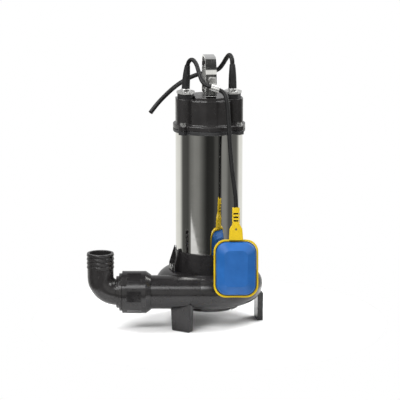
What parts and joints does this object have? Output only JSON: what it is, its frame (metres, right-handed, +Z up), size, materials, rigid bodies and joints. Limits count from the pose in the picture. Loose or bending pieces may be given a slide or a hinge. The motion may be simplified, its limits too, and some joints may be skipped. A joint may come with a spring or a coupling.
{
  "type": "submersible sump pump",
  "caption": "Upright submersible pump: steel motor tube, black cap, volute on legs, side outlet with upturned hose elbow, strap handle, hanging float switch.",
  "frame": {"origin": "under the middle of the object's bounding box without its cables, on the floor its legs stand on", "axes": "+Z up along the motor axis, -Y towards the side the float hangs on, -X towards the outlet"},
  "size_m": [0.3158, 0.2339, 0.4866],
  "materials": {
    "black_plastic": "satin, fine moulded grain",
    "impeller_plastic": "satin, glass-filled",
    "painted_casting": "black coating over a casting",
    "polished_steel": "polished nearly to a mirror",
    "strap_steel": "cold-rolled, half bright",
    "screw_steel": "bright turned",
    "hard_steel": "ground",
    "black_rubber": "matt",
    "cable_rubber": "matt with a slight sheen",
    "core_steel": "stacked sheet",
    "winding_copper": "varnished copper wire",
    "grey_plastic": "plain",
    "ball_steel": "polished",
    "yellow_plastic": "moulded, slightly worn",
    "blue_plastic": "moulded, slightly worn"
  },
  "bodies": {
    "root": {"top_cap": "black_plastic", "oil_chamber": "black_plastic", "volute_casing": "black_plastic", "volute_legs": "black_plastic", "outlet_coupling": "black_plastic", "suction_cover": "black_plastic", "upper_bearing_frame": "painted_casting", "motor_tube": "polished_steel", "handle_strap": "strap_steel", "cable_clamp": "strap_steel", "float_gland_plate": "strap_steel", "power_gland_plate": "strap_steel", "cap_screws": "screw_steel", "handle_screws": "screw_steel", "gland_screws": "screw_steel", "clamp_screw": "screw_steel", "volute_screws": "screw_steel", "cover_screws": "screw_steel", "bearing_balls": "screw_steel", "upper_bearing_outer": "screw_steel", "lower_bearing_outer": "screw_steel", "cutter_ring": "hard_steel", "float_gland_seal": "black_rubber", "power_gland_seal": "black_rubber", "float_cable_boot": "black_rubber", "power_cable_boot": "black_rubber", "cap_gasket": "black_rubber", "volute_gasket": "black_rubber", "outlet_seal": "black_rubber", "lip_seal": "black_rubber", "clamp_lining": "black_rubber", "power_cable": "cable_rubber", "float_cable_upper": "cable_rubber", "stator_core": "core_steel", "winding_upper": "winding_copper", "winding_lower": "winding_copper", "capacitor": "grey_plastic", "terminal_block": "grey_plastic", "seal_seat": "grey_plastic"},
    "rotor": {"motor_shaft": "screw_steel", "rotor_core": "core_steel", "upper_bearing_inner": "screw_steel", "lower_bearing_inner": "screw_steel", "seal_head": "grey_plastic", "impeller": "impeller_plastic", "cutter_blade": "hard_steel", "impeller_bolt": "screw_steel"},
    "float": {"float_band": "yellow_plastic", "float_back_shell": "blue_plastic", "float_front_shell": "blue_plastic", "float_switch": "grey_plastic", "ball_guide": "grey_plastic", "float_cable_lower": "cable_rubber"},
    "ball": {"switch_ball": "ball_steel"},
    "lever": {"switch_lever": "grey_plastic"},
    "elbow": {"outlet_elbow": "black_plastic"}
  },
  "joints": [
    {"name": "rotor_spin", "type": "hinge", "parent": "root", "child": "rotor", "pos_m": [0.0594, 0.0199, 0.0685], "axis": [0, 0, 1], "continuous": true},
    {"name": "float_swing", "type": "hinge", "parent": "root", "child": "float", "pos_m": [0.0921, -0.0461, 0.393], "axis": [-1, 0, 0], "range_deg": [0, 120]},
    {"name": "ball_slide", "type": "slide", "parent": "float", "child": "ball", "axis": [0, 0.1736, 0.9848], "range_m": [0, 0.018]},
    {"name": "lever_press", "type": "hinge", "parent": "float", "child": "lever", "pos_m": [0.0971, -0.09429, 0.11972], "axis": [0, -0.9848, 0.1736], "range_deg": [0, 7.2]},
    {"name": "elbow_swivel", "type": "hinge", "parent": "root", "child": "elbow", "pos_m": [-0.0806, -0.0461, 0.0685], "axis": [1, 0, 0], "range_deg": [-90, 90]}
  ],
  "couplings": [
    {"joint": "lever_press", "follows": "ball_slide", "rad_per_m": 6.98}
  ]
}
